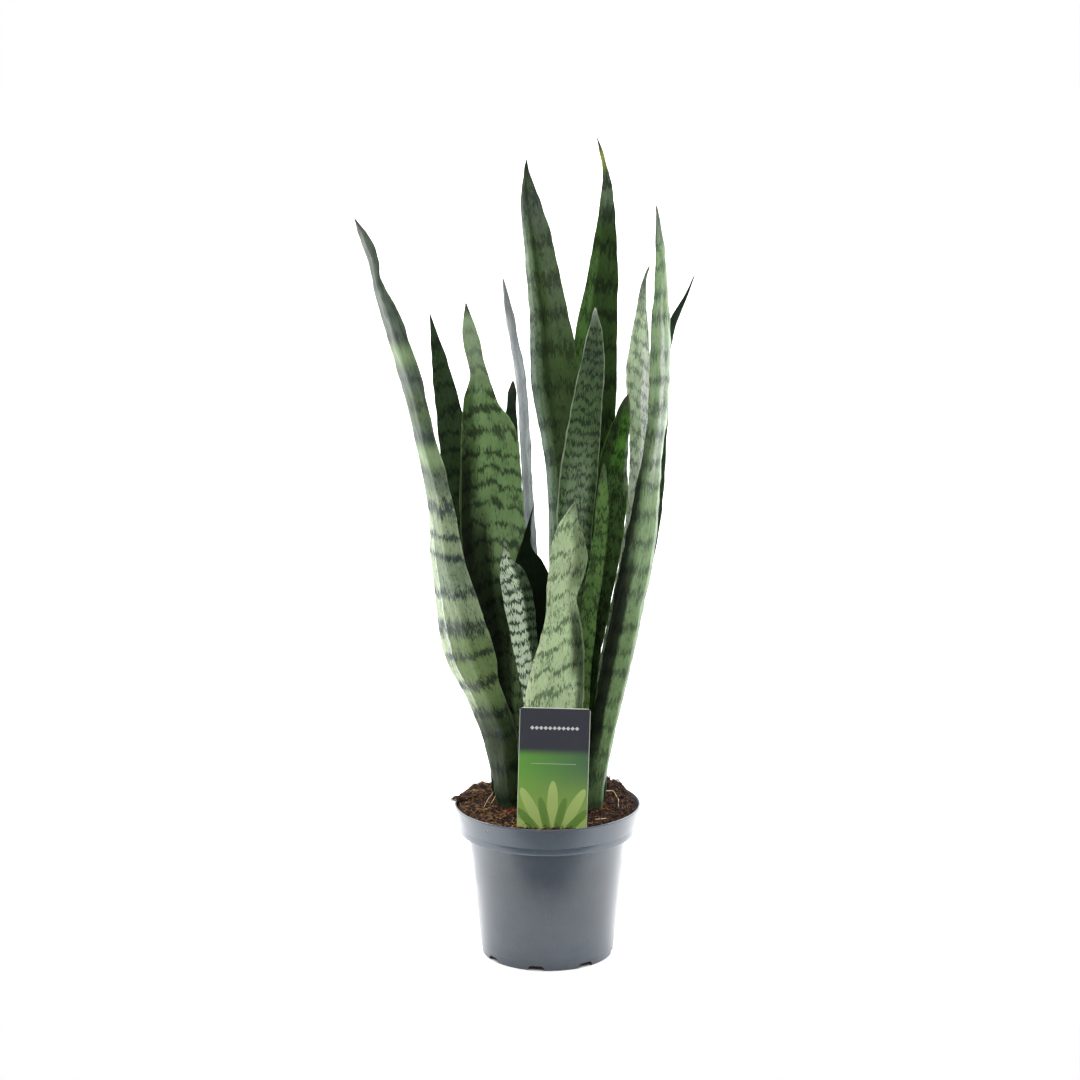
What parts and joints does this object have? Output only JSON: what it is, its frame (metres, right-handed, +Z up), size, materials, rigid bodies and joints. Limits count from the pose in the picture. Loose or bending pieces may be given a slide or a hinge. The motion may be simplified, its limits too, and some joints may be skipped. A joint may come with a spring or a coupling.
{
  "type": "potted ceylon bowstring hemp",
  "caption": "Upright clump of stiff, pointed, cross-banded succulent leaves in a round tapered nursery pot of growing mix, with a plain stake label at the front.",
  "frame": {"origin": "middle of the pot's flat underside, on the surface that the pot stands on", "axes": "+Z up along the pot's axis, -Y towards the front with the label, +X to the right seen from the front"},
  "size_m": [0.3018, 0.171, 0.7503],
  "materials": {
    "pot_plastic": "fine satin, moulded",
    "growing_mix": "matt, crumbly and fibrous",
    "rootstock": "matt, fleshy",
    "label_card": "printed, semi-gloss",
    "leaf_dark": "waxy satin",
    "leaf_green": "waxy satin",
    "leaf_banded": "waxy satin",
    "leaf_pale": "waxy satin",
    "leaf_silver": "waxy satin"
  },
  "bodies": {
    "root": {"pot": "pot_plastic", "growing_mix": "growing_mix", "rootstock": "rootstock", "label": "label_card", "leaf_left_outer": "leaf_banded", "leaf_left_back": "leaf_dark", "leaf_left_broad": "leaf_green", "leaf_left_slim": "leaf_silver", "leaf_left_short": "leaf_dark", "leaf_middle_spike": "leaf_dark", "leaf_middle_young": "leaf_banded", "leaf_back_broad": "leaf_green", "leaf_back_tallest": "leaf_dark", "leaf_middle_striped": "leaf_banded", "leaf_right_inner": "leaf_green", "leaf_right_pale": "leaf_silver", "leaf_front_pale": "leaf_pale", "leaf_right_outer": "leaf_pale", "leaf_right_hindmost": "leaf_dark", "leaf_right_short": "leaf_green"}
  },
  "joints": []
}
